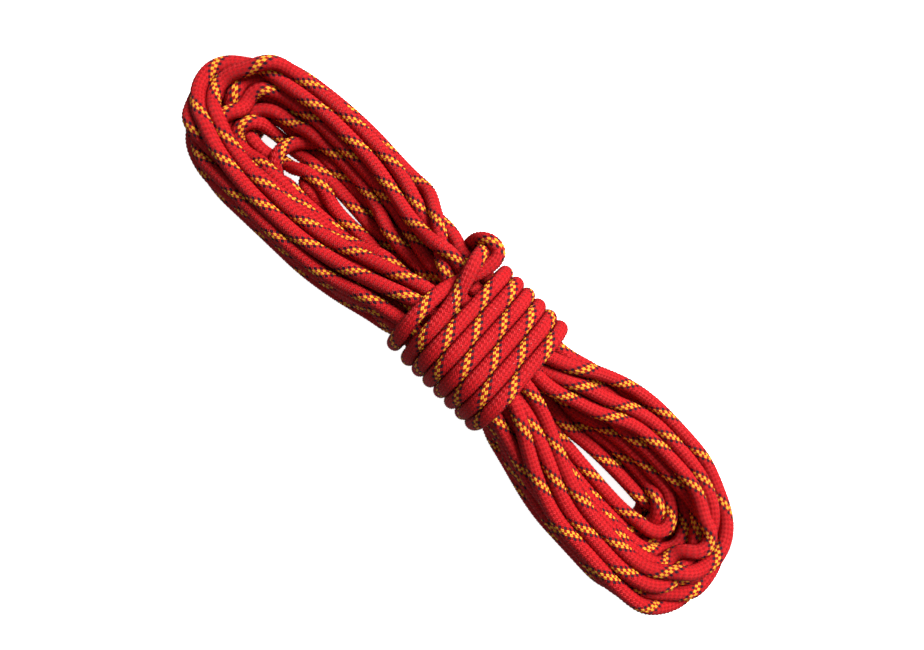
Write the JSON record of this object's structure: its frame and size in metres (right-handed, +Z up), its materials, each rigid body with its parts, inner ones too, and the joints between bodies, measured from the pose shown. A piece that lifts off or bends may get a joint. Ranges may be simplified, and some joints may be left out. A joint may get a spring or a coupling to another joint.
{
  "type": "dynamic climbing rope",
  "caption": "Red kernmantle climbing rope with yellow and black tracers, stored as a flat two-lobed hank bound round its waist with its own end.",
  "frame": {"origin": "under the middle of the whole object, on the surface that the hank lies on", "axes": "+X along the hank towards the lobe nearer the binding, +Y towards the side where the finishing hitch and the tail are, +Z up"},
  "size_m": [0.44, 0.101, 0.0717],
  "materials": {
    "sheath": "tight braid of red yarns with one stripe of yellow and black tracer yarns, soft sheen",
    "core": "twisted undyed fibre strands",
    "end_sleeve": "shrunk-on dark sleeve, satin"
  },
  "bodies": {
    "root": {"hank_loops": "sheath", "binding_turns": "sheath", "finishing_hitch": "sheath", "start_stretch": "sheath", "tail_sheath": "sheath", "tail_core_strand_01": "core", "tail_core_strand_02": "core", "tail_core_strand_03": "core", "tail_core_strand_04": "core", "tail_core_strand_05": "core", "tail_core_strand_06": "core", "tail_core_strand_07": "core", "tail_core_strand_08": "core", "tail_core_strand_09": "core", "tail_core_strand_10": "core", "tail_core_strand_11": "core", "tail_core_strand_12": "core", "tail_end_sleeve": "end_sleeve", "start_sheath": "sheath", "start_core_strand_01": "core", "start_core_strand_02": "core", "start_core_strand_03": "core", "start_core_strand_04": "core", "start_core_strand_05": "core", "start_core_strand_06": "core", "start_core_strand_07": "core", "start_core_strand_08": "core", "start_core_strand_09": "core", "start_core_strand_10": "core", "start_core_strand_11": "core", "start_core_strand_12": "core", "start_end_sleeve": "end_sleeve"}
  },
  "joints": []
}
